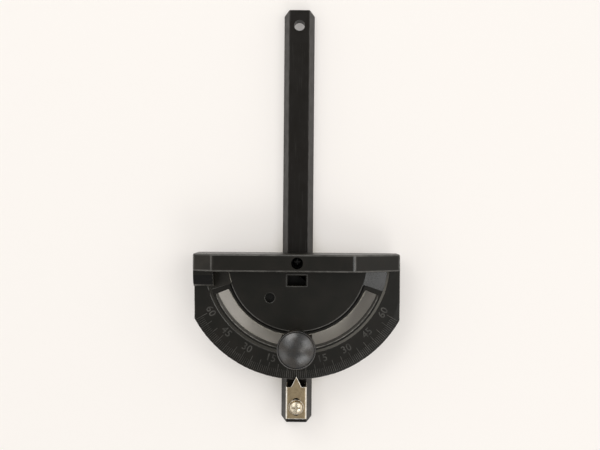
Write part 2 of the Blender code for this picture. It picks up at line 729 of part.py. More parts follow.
def make_stud(seat):
    """The steel stud moulded into the knob, with a chamfered tip in the bar."""
    radius = STUD_DIAMETER / 2
    chamfer = radius / 3
    top = seat + STUD_IN_KNOB
    profile = [
        (0.0, top), (radius, top), (radius, STUD_TIP_HEIGHT + chamfer),
        (radius - chamfer, STUD_TIP_HEIGHT), (0.0, STUD_TIP_HEIGHT),
    ]
    stud = turned("lock_stud", profile, SMALL_ROUND_STEPS)
    stud.location = (0.0, STUD_Y, 0.0)
    return stud


def make_pointer(seat, top):
    """Sheet folded down on both sides, with a pointed tongue at the front of its flat top."""
    half = BAR_TOP_WIDTH / 2 - POINTER_INSET
    bend = POINTER_BEND_RADIUS
    right = [(half, seat)]
    for index in range(POINTER_BEND_STEPS + 1):
        turn = math.pi / 2 * index / POINTER_BEND_STEPS
        right.append((half - bend + bend * math.cos(turn), top - bend + bend * math.sin(turn)))
    right.append((TIP_WIDTH / 2, top))
    section = right + [(0.0, top)] + [(-x, z) for x, z in reversed(right)]
    work = bmesh.new()
    rear = [work.verts.new((x, POINTER_REAR_Y, z)) for x, z in section]
    front = [work.verts.new((x, POINTER_FRONT_Y, z)) for x, z in section]
    for index in range(len(section) - 1):
        work.faces.new((rear[index], front[index], front[index + 1], rear[index + 1]))
    middle = len(right)
    apex = work.verts.new((0.0, POINTER_TIP_Y, top - TIP_DROP))
    work.faces.new((front[middle - 1], apex, front[middle]))
    work.faces.new((front[middle], apex, front[middle + 1]))
    bmesh.ops.recalc_face_normals(work, faces=work.faces)
    if sum(face.normal.z for face in work.faces) < 0:
        bmesh.ops.reverse_faces(work, faces=work.faces)
    mesh = bpy.data.meshes.new("pointer")
    work.to_mesh(mesh)
    work.free()
    pointer = bpy.data.objects.new("pointer", mesh)
    thick = pointer.modifiers.new("sheet", "SOLIDIFY")
    thick.thickness = SHEET
    thick.offset = -1.0
    thick.use_even_offset = True
    straight = (ADJUST_SLOT_LENGTH - ADJUST_SLOT_WIDTH) / 2
    radius = ADJUST_SLOT_WIDTH / 2
    half_turn = SMALL_ROUND_STEPS // 2
    back_end = (0.0, POINTER_SCREW_Y - straight)
    front_end = (0.0, POINTER_SCREW_Y + straight)
    lower = stepped_arc(radius, -math.pi / 2, math.pi / 2, back_end, half_turn)
    upper = stepped_arc(radius, math.pi / 2, 3 * math.pi / 2, front_end, half_turn)
    cut(pointer, prism("adjust_slot", lower + upper, top - SHEET - CUT_MARGIN, top + CUT_MARGIN))
    return pointer


def main():
    black_plastic = principled("black_moulding", (0.020, 0.019, 0.018), 0.42, 0.0)
    black_steel = principled("black_coated_steel", (0.018, 0.017, 0.016), 0.38, 0.3)
    knob_plastic = principled("knob_plastic", (0.028, 0.027, 0.026), 0.32, 0.0)
    zinc = principled("zinc_plated_steel", (0.60, 0.58, 0.54), 0.30, 1.0)
    dark_zinc = principled("dark_plated_steel", (0.10, 0.10, 0.10), 0.40, 0.9)
    nickel = principled("nickel_plated_sheet", (0.42, 0.38, 0.31), 0.35, 1.0)

    as_part(make_bar(), black_steel)
    as_part(make_head(), black_plastic)

    pivot_tip = TAPPED_HOLE_FLOOR + RUNNING_GAP
    pivot_screw = pan_screw(
        "pivot_screw", PIVOT_HEAD_DIAMETER, PIVOT_HEAD_HEIGHT, PIVOT_THREAD_DIAMETER,
        PIVOT_SEAT_TOP + RUNNING_GAP, pivot_tip, 0.0,
    )
    as_part(pivot_screw, dark_zinc)

    washer_seat = LEDGE_TOP + RUNNING_GAP
    washer_bore = STUD_DIAMETER + 2 * RUNNING_GAP
    washer = flat_washer(
        "clamp_washer", WASHER_DIAMETER, washer_bore, WASHER_THICKNESS, washer_seat, STUD_Y
    )
    as_part(washer, zinc)

    knob_seat = washer_seat + WASHER_THICKNESS + RUNNING_GAP
    as_part(make_knob(knob_seat), knob_plastic)
    as_part(make_stud(knob_seat), zinc)

    pointer_foot = BAR_THICKNESS + RUNNING_GAP
    pointer_top = PLATE_TOP + POINTER_LIFT + SHEET
    as_part(make_pointer(pointer_foot, pointer_top), nickel)

    pointer_washer_seat = pointer_top + RUNNING_GAP
    pointer_bore = POINTER_THREAD_DIAMETER + 2 * RUNNING_GAP
    pointer_washer = flat_washer(
        "pointer_washer", POINTER_WASHER_DIAMETER, pointer_bore, POINTER_WASHER_THICKNESS,
        pointer_washer_seat, POINTER_SCREW_Y,
    )
    as_part(pointer_washer, zinc)
    pointer_screw_seat = pointer_washer_seat + POINTER_WASHER_THICKNESS + RUNNING_GAP
    pointer_screw = pan_screw(
        "pointer_screw", POINTER_HEAD_DIAMETER, POINTER_HEAD_HEIGHT, POINTER_THREAD_DIAMETER,
        pointer_screw_seat, TAPPED_HOLE_FLOOR + RUNNING_GAP, POINTER_SCREW_Y,
    )
    as_part(pointer_screw, zinc)


main()
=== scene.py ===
"""Looks of a bench saw's miter gauge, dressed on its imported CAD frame.

Metres, +Z up. The origin is on the pivot axis at the underside of the guide bar, +Y runs along the
bar, and the operator's end, with the scale and the pointer, is towards -Y.
"""

import math

import bmesh
import bpy
from mathutils import Matrix, Vector


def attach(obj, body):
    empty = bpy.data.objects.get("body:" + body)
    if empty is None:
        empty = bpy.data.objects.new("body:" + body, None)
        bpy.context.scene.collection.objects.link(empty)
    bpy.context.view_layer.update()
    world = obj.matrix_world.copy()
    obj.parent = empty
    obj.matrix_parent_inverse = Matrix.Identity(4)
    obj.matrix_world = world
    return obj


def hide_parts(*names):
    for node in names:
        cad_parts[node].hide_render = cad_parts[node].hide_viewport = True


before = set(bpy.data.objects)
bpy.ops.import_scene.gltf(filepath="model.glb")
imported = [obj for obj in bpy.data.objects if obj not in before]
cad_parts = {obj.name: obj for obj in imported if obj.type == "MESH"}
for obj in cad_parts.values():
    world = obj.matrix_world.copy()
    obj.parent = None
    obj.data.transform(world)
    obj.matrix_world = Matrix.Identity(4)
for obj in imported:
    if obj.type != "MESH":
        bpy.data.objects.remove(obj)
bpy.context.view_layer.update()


# The stage is a plain pale table top, looked at from straight above as on a copy stand. The room is
# pale to the left and right and dim towards both ends of the gauge, with soft lamps round the camera.
# The table top has a painted glow where it lies open; close to the gauge the glow is less and
# warmer, a painted shade round the gauge.
TABLE_COLOUR = (0.70, 0.67, 0.635)
TABLE_GLOW = (0.314, 0.303, 0.298)
TABLE_HOLLOW_GLOW = (0.314, 0.272, 0.185)
TABLE_GLOW_REACH = 0.045
TABLE_OPEN = 0.54
TABLE_HALF_SIZE = 2.0
TABLE_HEIGHT = -0.0001
CEILING_LIGHT = (0.38, 0.38, 0.37)
CEILING_BLEND = (0.35, 0.95)
LEFT_LIGHT = (0.90, 0.87, 0.83)
RIGHT_LIGHT = (1.22, 1.18, 1.13)
SIDE_BLEND = (-0.6, 0.6)
END_LIGHT = (0.50, 0.485, 0.465)
LAMP_DISTANCE = 1.3
CAMERA_PLACE = Vector((0.00523, 0.0273, 0.545))
CAMERA_AIM = Vector((0.0013, 0.0231, 0.0))
CAMERA_ROLL = math.radians(0.48)
CAMERA_LENS = 50.0
CAMERA_SENSOR = 36.0

# The openness below which nothing glows is the sum of these: an axis, two places along it, and the
# values there. It is low in the hanging hole and the slot's left end, high in the slot's right end,
# so that painted light shows in the hole and the slot's left end and painted shade in its right end.
TABLE_HOLLOWS = (
    ("X", -0.043, -0.029, -0.26, 0.10), ("X", 0.026, 0.037, 0.0, 0.13), ("Y", 0.130, 0.145, 0.0, -6.0),
)


def new_finish(name, colour, roughness, metallic=0.0, specular=0.5):
    """A material, its node tree, its shader and its Object coordinates."""
    material = bpy.data.materials.new(name)
    material.use_nodes = True
    tree = material.node_tree
    shader = tree.nodes["Principled BSDF"]
    shader.inputs["Base Color"].default_value = (*colour, 1.0)
    shader.inputs["Roughness"].default_value = roughness
    shader.inputs["Metallic"].default_value = metallic
    shader.inputs["Specular IOR Level"].default_value = specular
    place = tree.nodes.new("ShaderNodeTexCoord")
    return material, tree, shader, place.outputs["Object"]


def feed(tree, value, socket):
    """Gives a socket a number, a colour or another node's output."""
    if isinstance(value, (int, float)):
        socket.default_value = value
    elif isinstance(value, tuple):
        socket.default_value = (*value, 1.0)
    else:
        tree.links.new(value, socket)


def math_node(tree, operation, first, second=0.0):
    """The result of a Math node; each operand is a number or an output."""
    node = tree.nodes.new("ShaderNodeMath")
    node.operation = operation
    feed(tree, first, node.inputs[0])
    feed(tree, second, node.inputs[1])
    return node.outputs[0]


def parts_of(tree, vector):
    """The X, Y and Z of a vector, as outputs."""
    node = tree.nodes.new("ShaderNodeSeparateXYZ")
    tree.links.new(vector, node.inputs[0])
    return node.outputs


def ranged(tree, value, low, high, at_low, at_high):
    """value taken from low..high to at_low..at_high, and held there beyond it."""
    node = tree.nodes.new("ShaderNodeMapRange")
    feed(tree, value, node.inputs["Value"])
    feed(tree, low, node.inputs["From Min"])
    feed(tree, high, node.inputs["From Max"])
    feed(tree, at_low, node.inputs["To Min"])
    feed(tree, at_high, node.inputs["To Max"])
    return node.outputs["Result"]


def tinted(tree, share, first, second):
    """first where share is 0 and second where it is 1; each is a colour or another output."""
    mix = tree.nodes.new("ShaderNodeMix")
    mix.data_type = "RGBA"
    feed(tree, share, mix.inputs[0])
    feed(tree, first, mix.inputs[6])
    feed(tree, second, mix.inputs[7])
    return mix.outputs[2]


table_mesh = bpy.data.meshes.new("table_top")
table_corners = ((-1.0, -1.0), (1.0, -1.0), (1.0, 1.0), (-1.0, 1.0))
table_mesh.from_pydata(
    [(x * TABLE_HALF_SIZE, y * TABLE_HALF_SIZE, TABLE_HEIGHT) for x, y in table_corners], [], [(0, 1, 2, 3)]
)
table_top = bpy.data.objects.new("table_top", table_mesh)
bpy.context.scene.collection.objects.link(table_top)

table_finish, tree, shader, place = new_finish("pale_table", TABLE_COLOUR, 0.7, specular=0.2)
table_mesh.materials.append(table_finish)
table_parts = parts_of(tree, place)
table_least = 0.0
for axis_name, near, far, at_near, at_far in TABLE_HOLLOWS:
    hollow = ranged(tree, table_parts[axis_name], near, far, at_near, at_far)
    table_least = math_node(tree, "ADD", table_least, hollow)
# Where the table is hemmed in by the gauge the glow fades: painted shade near the gauge and in the slot.
table_openness = tree.nodes.new("ShaderNodeAmbientOcclusion")
table_openness.samples = 16
table_openness.inputs["Distance"].default_value = TABLE_GLOW_REACH
table_lit = ranged(tree, table_openness.outputs["AO"], table_least, TABLE_OPEN, 0.0, 1.0)
table_glow = tinted(tree, table_lit, TABLE_HOLLOW_GLOW, TABLE_GLOW)
tree.links.new(table_glow, shader.inputs["Emission Color"])

# The glow is there for what the camera sees, straight or in a gloss, and lights nothing.
rays = tree.nodes.new("ShaderNodeLightPath").outputs
seen = math_node(tree, "MAXIMUM", rays["Is Camera Ray"], rays["Is Glossy Ray"])
seen = math_node(tree, "MAXIMUM", seen, rays["Is Transmission Ray"])
tree.links.new(math_node(tree, "MULTIPLY", seen, table_lit), shader.inputs["Emission Strength"])

world = bpy.data.worlds.new("soft_room")
world.use_nodes = True
bpy.context.scene.world = world
sky = world.node_tree
sky_parts = parts_of(sky, sky.nodes.new("ShaderNodeTexCoord").outputs["Generated"])
sky_across = ranged(sky, sky_parts["X"], *SIDE_BLEND, 0.0, 1.0)
sky_sides = tinted(sky, sky_across, LEFT_LIGHT, RIGHT_LIGHT)
sky_round = tinted(sky, math_node(sky, "MULTIPLY", sky_parts["X"], sky_parts["X"]), END_LIGHT, sky_sides)
sky_rise = ranged(sky, sky_parts["Z"], *CEILING_BLEND, 0.0, 1.0)
sky_colour = tinted(sky, sky_rise, sky_round, CEILING_LIGHT)
sky.links.new(sky_colour, sky.nodes["Background"].inputs["Color"])


def soft_lamp(name, tilt, bearing, width, height, radiance):
    """A soft panel seen from the gauge at tilt degrees off vertical and bearing degrees from +X.

    width and height are the degrees that it spans, across and up.
    """
    light = bpy.data.lights.new(name, "AREA")
    light.shape = "RECTANGLE"
    light.size = 2 * LAMP_DISTANCE * math.tan(math.radians(width / 2))
    light.size_y = 2 * LAMP_DISTANCE * math.tan(math.radians(height / 2))
    light.energy = math.pi * light.size * light.size_y * radiance
    lamp = bpy.data.objects.new(name, light)
    bpy.context.scene.collection.objects.link(lamp)
    turn = Matrix.Rotation(math.radians(bearing - 90.0), 4, "Z")
    lean = Matrix.Rotation(math.radians(-tilt), 4, "X")
    lamp.matrix_world = turn @ lean @ Matrix.Translation((0.0, 0.0, LAMP_DISTANCE))


soft_lamp("lamp_top", 42.0, 117.0, 34.0, 19.0, 2.6)
soft_lamp("lamp_near_left", 30.0, 147.0, 28.0, 22.0, 1.1)
soft_lamp("lamp_right", 36.0, 18.0, 30.0, 22.0, 2.1)
soft_lamp("lamp_near_right", 21.0, -20.0, 16.0, 11.0, 1.8)
soft_lamp("lamp_low_right", 43.0, -61.0, 30.0, 20.0, 2.2)
soft_lamp("lamp_left", 48.0, 214.0, 32.0, 18.0, 0.85)

camera_data = bpy.data.cameras.new("copy_camera")
camera_data.lens = CAMERA_LENS
camera_data.sensor_width = CAMERA_SENSOR
camera = bpy.data.objects.new("copy_camera", camera_data)
bpy.context.scene.collection.objects.link(camera)
view_ahead = (CAMERA_AIM - CAMERA_PLACE).normalized()
view_right = view_ahead.cross(Vector((0.0, 1.0, 0.0))).normalized()
view_up = view_right.cross(view_ahead)
straight = Matrix((view_right, view_up, -view_ahead)).transposed().to_4x4()
camera.matrix_world = Matrix.Translation(CAMERA_PLACE) @ straight @ Matrix.Rotation(CAMERA_ROLL, 4, "Z")
bpy.context.scene.camera = camera
bpy.context.scene.view_settings.view_transform = "Standard"


# The guide bar is a rolled steel bar with sloping sides that slides in the saw table's groove. It is
# sawn to length, drilled, deburred and given a thin black coating, which is scuffed. Its rounded
# edges are paler, partly rubbed coating and partly a painted highlight.
BAR_EDGE_ROUND = 0.00045
BAR_COLOUR = (0.0062, 0.0044, 0.0028)
BAR_SCUFF_COLOUR = (0.045, 0.043, 0.040)
BAR_EDGE_RUB_AND_HIGHLIGHT_COLOUR = (0.034, 0.031, 0.027)
MERGE_DISTANCE = 2e-6
FLAT_ANGLE = 0.2
SHARP_ANGLE = 28.0
SMOOTH_ANGLE = 50.0


def merged_copy(node_name):
    """The shape of a CAD node with its loose triangles merged and its flat faces made whole."""
    work = bmesh.new()
    work.from_mesh(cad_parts[node_name].data)
    bmesh.ops.remove_doubles(work, verts=work.verts, dist=MERGE_DISTANCE)
    bmesh.ops.dissolve_limit(
        work, angle_limit=math.radians(FLAT_ANGLE), verts=list(work.verts), edges=list(work.edges)
    )
    return work


def round_edges(work, width, wanted=None, finish=-1, segments=2):
    """Rounds the sharp edges that are long enough to take it, or those of them that are wanted.

    finish is the place of the rounded faces' finish in the piece's list, or -1 for that of the
    faces beside them.
    """
    chosen = []
    for edge in work.edges:
        if not edge.is_manifold or edge.calc_length() < 3 * width:
            continue
        if math.degrees(edge.calc_face_angle()) < SHARP_ANGLE:
            continue
        if wanted is None or wanted(edge):
            chosen.append(edge)
    bmesh.ops.bevel(
        work, geom=chosen, offset=width, offset_type="OFFSET", segments=segments, profile=0.5,
        affect="EDGES", clamp_overlap=False, material=finish,
    )


def smooth_evenly(mesh):
    """Corner normals smoothed across soft edges, in which a large face outweighs a small one."""
    around = {}
    for face in mesh.polygons:
        for vertex in face.vertices:
            around.setdefault(vertex, []).append((face.normal.copy(), face.area ** 2))
    least = math.cos(math.radians(SMOOTH_ANGLE))
    corners = []
    for face in mesh.polygons:
        for vertex in face.vertices:
            total = Vector((0.0, 0.0, 0.0))
            for normal, weight in around[vertex]:
                if normal.dot(face.normal) > least:
                    total += normal * weight
            corners.append(total.normalized() if total.length > 0.0 else face.normal)
    mesh.shade_smooth()
    mesh.normals_split_custom_set(corners)


def piece_from(work, name, *finishes):
    """A shown piece made from a finished bmesh, smooth except across sharp edges."""
    mesh = bpy.data.meshes.new(name)
    work.to_mesh(mesh)
    work.free()
    smooth_evenly(mesh)
    for finish in finishes:
        mesh.materials.append(finish)
    piece = bpy.data.objects.new(name, mesh)
    bpy.context.scene.collection.objects.link(piece)
    return piece


def noise_of(tree, place, size, detail=2.0, stretch=(1.0, 1.0, 1.0)):
    """Noise with blotches about size metres across, drawn out along the axes by stretch."""
    scaled = tree.nodes.new("ShaderNodeMapping")
    scaled.inputs["Scale"].default_value = [1.0 / (size * share) for share in stretch]
    tree.links.new(place, scaled.inputs["Vector"])
    noise = tree.nodes.new("ShaderNodeTexNoise")
    noise.inputs["Scale"].default_value = 1.0
    noise.inputs["Detail"].default_value = detail
    tree.links.new(scaled.outputs["Vector"], noise.inputs["Vector"])
    return noise.outputs[0]


def bumped(tree, height, depth, under=None):
    """A normal that rises and falls by depth metres with height, over an earlier one if given."""
    bump = tree.nodes.new("ShaderNodeBump")
    bump.inputs["Distance"].default_value = depth
    tree.links.new(height, bump.inputs["Height"])
    if under is not None:
        tree.links.new(under, bump.inputs["Normal"])
    return bump.outputs["Normal"]


def grain(tree, place, shader, size, detail, depth):
    """Gives a shader fine bumps, about size metres across and depth metres high."""
    tree.links.new(bumped(tree, noise_of(tree, place, size, detail), depth), shader.inputs["Normal"])


def mottle(tree, place, shader, size, detail, blend_range, under, over):
    """Gives a shader one colour with another over it, in blotches about size metres across.

    wear is a low and a high noise, and how much of the second colour shows at each.
    """
    share = ranged(tree, noise_of(tree, place, size, detail), *blend_range)
    tree.links.new(tinted(tree, share, under, over), shader.inputs["Base Color"])


bar_finish, tree, shader, place = new_finish("black_coating_on_steel", BAR_COLOUR, 0.34, specular=0.26)
bar_mottle = noise_of(tree, place, 0.0060, 4.0)
bar_scratch = noise_of(tree, place, 0.00035, 2.0, (1.0, 60.0, 1.0))
bar_scratched = ranged(tree, bar_scratch, 0.66, 0.74, 0.0, 0.7)
bar_worn = tinted(tree, bar_scratched, BAR_COLOUR, BAR_SCUFF_COLOUR)
tree.links.new(bar_worn, shader.inputs["Base Color"])
tree.links.new(ranged(tree, bar_mottle, 0.35, 0.7, 0.30, 0.42), shader.inputs["Roughness"])
bar_skin = bumped(tree, noise_of(tree, place, 0.0004, 3.0), 0.000012)
bar_skin = bumped(tree, bar_scratch, 0.000006, bar_skin)
tree.links.new(bar_skin, shader.inputs["Normal"])

# Paler on the rounded edges: partly rubbed coating, partly a painted highlight.
bar_edge_finish, tree, shader, place = new_finish("bar_edges_rubbed_and_painted_highlight", BAR_EDGE_RUB_AND_HIGHLIGHT_COLOUR, 0.32)
mottle(tree, place, shader, 0.0040, 4.0, (0.40, 0.62, 0.0, 1.0), BAR_COLOUR, BAR_EDGE_RUB_AND_HIGHLIGHT_COLOUR)
grain(tree, place, shader, 0.0004, 3.0, 0.000012)

work = merged_copy("miter_bar")
round_edges(work, BAR_EDGE_ROUND, finish=1)
guide_bar = piece_from(work, "guide_bar", bar_finish, bar_edge_finish)
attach(guide_bar, "bar")
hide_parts("miter_bar")


# The head is one black moulding: a half-round plate with the fence across its front, an arc slot
# with a channel for the clamp washer, and a scale on its sloping rim. It turns on the pivot screw.
# Its edges, the fence's bends and the buttress's lip are paler than its flats, a painted highlight,
# and the slot's edges, the left crest and the buttress's side carry a brighter painted highlight. The
# right shoulder, the fence's end tops and the left shoulder are lighter, painted light; the buttress
# top and the washer channel are darker, painted shade; the channel's outer chamfer is pale and
# brightest towards the right, a painted reflection.
HEAD_TOP = 0.0235
HEAD_UNDERSIDE = 0.0093
HEAD_EDGE_ROUND = 0.00042
HEAD_FOOT_ROUND = 0.00025
CHANNEL_RIM_RADIUS = 0.0581
CHANNEL_RIM_ROUND = 0.00030
CHANNEL_RIM_BAND = 0.0006
CHANNEL_FLOOR = 0.0210
PLAIN_RIM_FROM_X = 0.0100
SLOT_EDGE_ROUND = 0.00050
SLOT_EDGES = (0.0466, 0.0550)
BUTTRESS_EDGE_ROUND = 0.00065
BUTTRESS_SIDE_X = -0.0520
BUTTRESS_SIDE_BAND = 0.0008
BUTTRESS_EDGE_LOW = 0.0236
BUTTRESS_FACE_LOW = 0.0238
BUTTRESS_FOOT = ((-0.0650, -0.0157, 0.0238), (-0.0515, -0.0128, 0.0280))
FENCE_REAR_Y = -0.0066
FENCE_ENDS_X = (-0.0525, 0.0355)
FENCE_TOP_LOW = 0.0340
FENCE_BEND_LOW = 0.0360
FENCE_BEND_SLANT = (0.22, 0.42)
WINDOW_RIM_ROUND = 0.00065
WINDOW_REACH = ((-0.0070, -0.0155), (0.0070, -0.0070))
CREST_RADIUS = 0.0435
CREST_BAND = 0.0003
CREST_LOW = 0.0234
CREST_END_Y = -0.0148
CREST_ROUND = 0.00055
LEFT_SHOULDER_X = -0.0200
SHOULDER_END_Y = -0.0140
PLATE_LOW = 0.0230
ON_LEVEL = 0.0001
ON_RADIUS = 0.0002
NARROW_FACE = 0.00095
SHOULDER_SLANT = (0.988, 0.996)
CHANNEL_SLANT = (0.3, 0.7)
EDGE_SLANT = (0.1, 0.98)
FACING_UP = 0.9
HEAD_COLOUR = (0.0064, 0.0058, 0.0036)
HEAD_DUST_COLOUR = (0.030, 0.028, 0.025)
HEAD_EDGE_HIGHLIGHT_COLOUR = (0.075, 0.071, 0.064)
HEAD_SHADE_COLOUR = (0.0030, 0.0026, 0.0024)
PALEST_HIGHLIGHT_COLOUR = (0.44, 0.41, 0.35)
SLOT_HIGHLIGHT_COLOUR = (0.25, 0.24, 0.215)
CHANNEL_WALL_REFLECTION_COLOUR = (0.200, 0.190, 0.168)
FENCE_END_PAINTED_BRIGHTNESS = (0.0215, 0.0185, 0.0140)
HEAD_WARM_COLOUR = (0.0080, 0.0063, 0.0038)
SHOULDER_PAINTED_BRIGHTNESS = (0.0165, 0.0160, 0.0145)

# The places of the head's finishes in its list.
PLAIN, EDGE, SHOULDER, PAINTED_SHADE, BRIGHT_HIGHLIGHT, WALL, PAINTED_LIGHT, SLOT_EDGE = range(8)

head_finish, tree, shader, place = new_finish("black_moulding_satin", HEAD_COLOUR, 0.34, specular=0.32)
head_flow = noise_of(tree, place, 0.0110, 4.0)
head_specks = noise_of(tree, place, 0.00045, 1.0)
head_dusty = ranged(tree, head_specks, 0.70, 0.76, 0.0, 0.5)
head_shade = tinted(tree, ranged(tree, head_flow, 0.40, 0.60, 0.0, 1.0), HEAD_COLOUR, HEAD_WARM_COLOUR)
tree.links.new(tinted(tree, head_dusty, head_shade, HEAD_DUST_COLOUR), shader.inputs["Base Color"])
tree.links.new(ranged(tree, head_flow, 0.3, 0.7, 0.29, 0.38), shader.inputs["Roughness"])
grain(tree, place, shader, 0.00030, 2.0, 0.000010)

# Paler on the rounded edges, the fence's bends and the buttress's lip: a painted highlight.
head_edge_finish, tree, shader, place = new_finish(
    "moulding_edges_painted_highlight", HEAD_EDGE_HIGHLIGHT_COLOUR, 0.22, specular=0.75
)
mottle(tree, place, shader, 0.0052, 4.0, (0.34, 0.60, 0.35, 1.0), HEAD_COLOUR, HEAD_EDGE_HIGHLIGHT_COLOUR)
grain(tree, place, shader, 0.00030, 2.0, 0.000010)

# The right shoulder is smoother, and lighter in colour as painted light.
shoulder_finish, tree, shader, place = new_finish(
    "smooth_shoulder_painted_light", SHOULDER_PAINTED_BRIGHTNESS, 0.26, specular=0.75
)
shoulder_flow = noise_of(tree, place, 0.0070, 3.0)
tree.links.new(ranged(tree, shoulder_flow, 0.3, 0.7, 0.22, 0.30), shader.inputs["Roughness"])
grain(tree, place, shader, 0.00030, 2.0, 0.000006)

# Darker on the buttress top and in the washer channel: painted shade.
shade_finish, tree, shader, place = new_finish(
    "black_moulding_painted_shade", HEAD_SHADE_COLOUR, 0.45, specular=0.2
)
grain(tree, place, shader, 0.00030, 2.0, 0.000010)

# Near white on the left crest, the buttress's side and the slot's inner edges: a bright painted highlight.
palest_highlight_finish, tree, shader, place = new_finish("moulding_bright_painted_highlight", PALEST_HIGHLIGHT_COLOUR, 0.35)
mottle(tree, place, shader, 0.0030, 3.0, (0.34, 0.60, 0.4, 1.0), HEAD_COLOUR, PALEST_HIGHLIGHT_COLOUR)

# Pale on the slot's outer top edges: a painted highlight.
slot_edge_finish, tree, shader, place = new_finish("slot_edges_painted_highlight", SLOT_HIGHLIGHT_COLOUR, 0.35)
mottle(tree, place, shader, 0.0030, 3.0, (0.34, 0.60, 0.4, 1.0), HEAD_COLOUR, SLOT_HIGHLIGHT_COLOUR)

# Lighter on the fence's end tops and the left shoulder: painted light.
end_painted_finish, tree, shader, place = new_finish("fence_ends_painted_light", FENCE_END_PAINTED_BRIGHTNESS, 0.34, specular=0.32)
mottle(tree, place, shader, 0.0090, 4.0, (0.38, 0.62, 0.45, 1.0), HEAD_COLOUR, FENCE_END_PAINTED_BRIGHTNESS)
grain(tree, place, shader, 0.00030, 2.0, 0.000010)

# Pale on the channel's outer chamfer, brighter towards the right: a painted reflection.
wall_finish, tree, shader, place = new_finish("channel_wall_painted_reflection", CHANNEL_WALL_REFLECTION_COLOUR, 0.35)
wall_reflection_share = ranged(tree, parts_of(tree, place)["X"], -0.050, 0.045, 0.20, 1.0)
tree.links.new(tinted(tree, wall_reflection_share, HEAD_COLOUR, CHANNEL_WALL_REFLECTION_COLOUR), shader.inputs["Base Color"])


def middle_of(edge):
    """The point halfway along an edge."""
    return (edge.verts[0].co + edge.verts[1].co) / 2


def within(point, low_corner, high_corner):
    """Whether a point lies in a box, whose corners may leave out the height."""
    return all(low < value < high for low, value, high in zip(low_corner, point, high_corner))


def leans(face, slant):
    """Whether the upward part of a face's normal lies between two values."""
    return slant[0] < face.normal.z < slant[1]


def is_narrow(face):
    """Whether a face is a thin strip."""
    return face.calc_area() / max(edge.calc_length() for edge in face.edges) < NARROW_FACE


def beside_fence(point):
    """Whether a point lies between the fence's rear and the buttress's far end."""
    return FENCE_REAR_Y > point.y > BUTTRESS_FOOT[0][1]


def on_channel_rim(edge):
    """The top edge of the washer channel's outer wall."""
    middle = middle_of(edge)
    return abs(middle.xy.length - CHANNEL_RIM_RADIUS) < ON_RADIUS and middle.z > PLATE_LOW


def on_window_rim(edge):
    """The top edges of the small window behind the pivot."""
    return within(middle_of(edge), *WINDOW_REACH) and min(vertex.co.z for vertex in edge.verts) > PLATE_LOW


def on_left_crest(edge):
    """The top edge of the small step between the plate and the left shoulder."""
    middle = middle_of(edge)
    return (
        middle.z > CREST_LOW and middle.x < LEFT_SHOULDER_X and middle.y > CREST_END_Y
        and abs(middle.xy.length - CREST_RADIUS) < CREST_BAND
    )


def on_slot_edge(edge):
    """The top edges of the arc slot, in the channel's floor."""
    middle = middle_of(edge)
    level = abs(middle.z - CHANNEL_FLOOR) < ON_LEVEL
    round_it = any(abs(middle.xy.length - radius) < ON_RADIUS for radius in SLOT_EDGES)
    return level and edge.is_convex and round_it


def on_buttress_side(edge):
    """The edge along the buttress, next to the left shoulder."""
    middle = middle_of(edge)
    return (
        abs(middle.x - BUTTRESS_SIDE_X) < BUTTRESS_SIDE_BAND and middle.z > BUTTRESS_EDGE_LOW
        and beside_fence(middle) and edge.is_convex
    )


def on_left_shoulder_end(edge):
    """The lower edge of the left shoulder, above the end of the channel."""
    middle = middle_of(edge)
    sloping = any(leans(face, SHOULDER_SLANT) for face in edge.link_faces)
    return sloping and edge.is_convex and middle.x < LEFT_SHOULDER_X and middle.y < SHOULDER_END_Y


def on_head_edge(edge):
    """The outward edges above the underside, apart from those of thin strips."""
    low = min(vertex.co.z for vertex in edge.verts)
    return edge.is_convex and low > HEAD_UNDERSIDE + ON_LEVEL and not any(map(is_narrow, edge.link_faces))


def on_head_foot(edge):
    """The outward edges at the underside."""
    high = max(vertex.co.z for vertex in edge.verts)
    return edge.is_convex and high < HEAD_UNDERSIDE + ON_LEVEL


# Paler finishes on edges and bends are painted highlights, the lighter shoulders and fence end tops are
# painted light, and the darker buttress top and channel are painted shade.
def head_finish_of(face):
    """The place of the finish that a face gets, by where it lies and how it slants."""
    centre = face.calc_center_median()
    reach = centre.xy.length
    present = face.material_index
    in_channel = centre.y < 0.0 and CREST_RADIUS < reach < CHANNEL_RIM_RADIUS and centre.z < PLATE_LOW
    on_shoulder = leans(face, SHOULDER_SLANT) and reach < CHANNEL_RIM_RADIUS
    past_fence_bends = not FENCE_ENDS_X[0] < centre.x < FENCE_ENDS_X[1]
    if centre.z > FENCE_BEND_LOW and FENCE_BEND_SLANT[0] < abs(face.normal.x) < FENCE_BEND_SLANT[1]:
        return EDGE
    if within(centre, *BUTTRESS_FOOT):
        return EDGE
    if present == SLOT_EDGE and reach < sum(SLOT_EDGES) / 2:
        return BRIGHT_HIGHLIGHT
    if (
        present == EDGE and abs(reach - CHANNEL_RIM_RADIUS) < CHANNEL_RIM_BAND
        and centre.x > PLAIN_RIM_FROM_X
    ):
        return PLAIN
    if on_shoulder and centre.x > 0.0:
        return SHOULDER
    if centre.z > FENCE_TOP_LOW and face.normal.z > FACING_UP and past_fence_bends:
        return PAINTED_LIGHT
    if centre.x < BUTTRESS_SIDE_X and centre.z > BUTTRESS_FACE_LOW and beside_fence(centre):
        return PAINTED_SHADE if present == PLAIN else present
    if on_shoulder:
        return PAINTED_LIGHT
    if in_channel and present == PLAIN and centre.z > CHANNEL_FLOOR - ON_LEVEL:
        return WALL if leans(face, CHANNEL_SLANT) and reach > SLOT_EDGES[1] else PAINTED_SHADE
    if leans(face, EDGE_SLANT) and is_narrow(face) and present == PLAIN:
        return EDGE
    return present


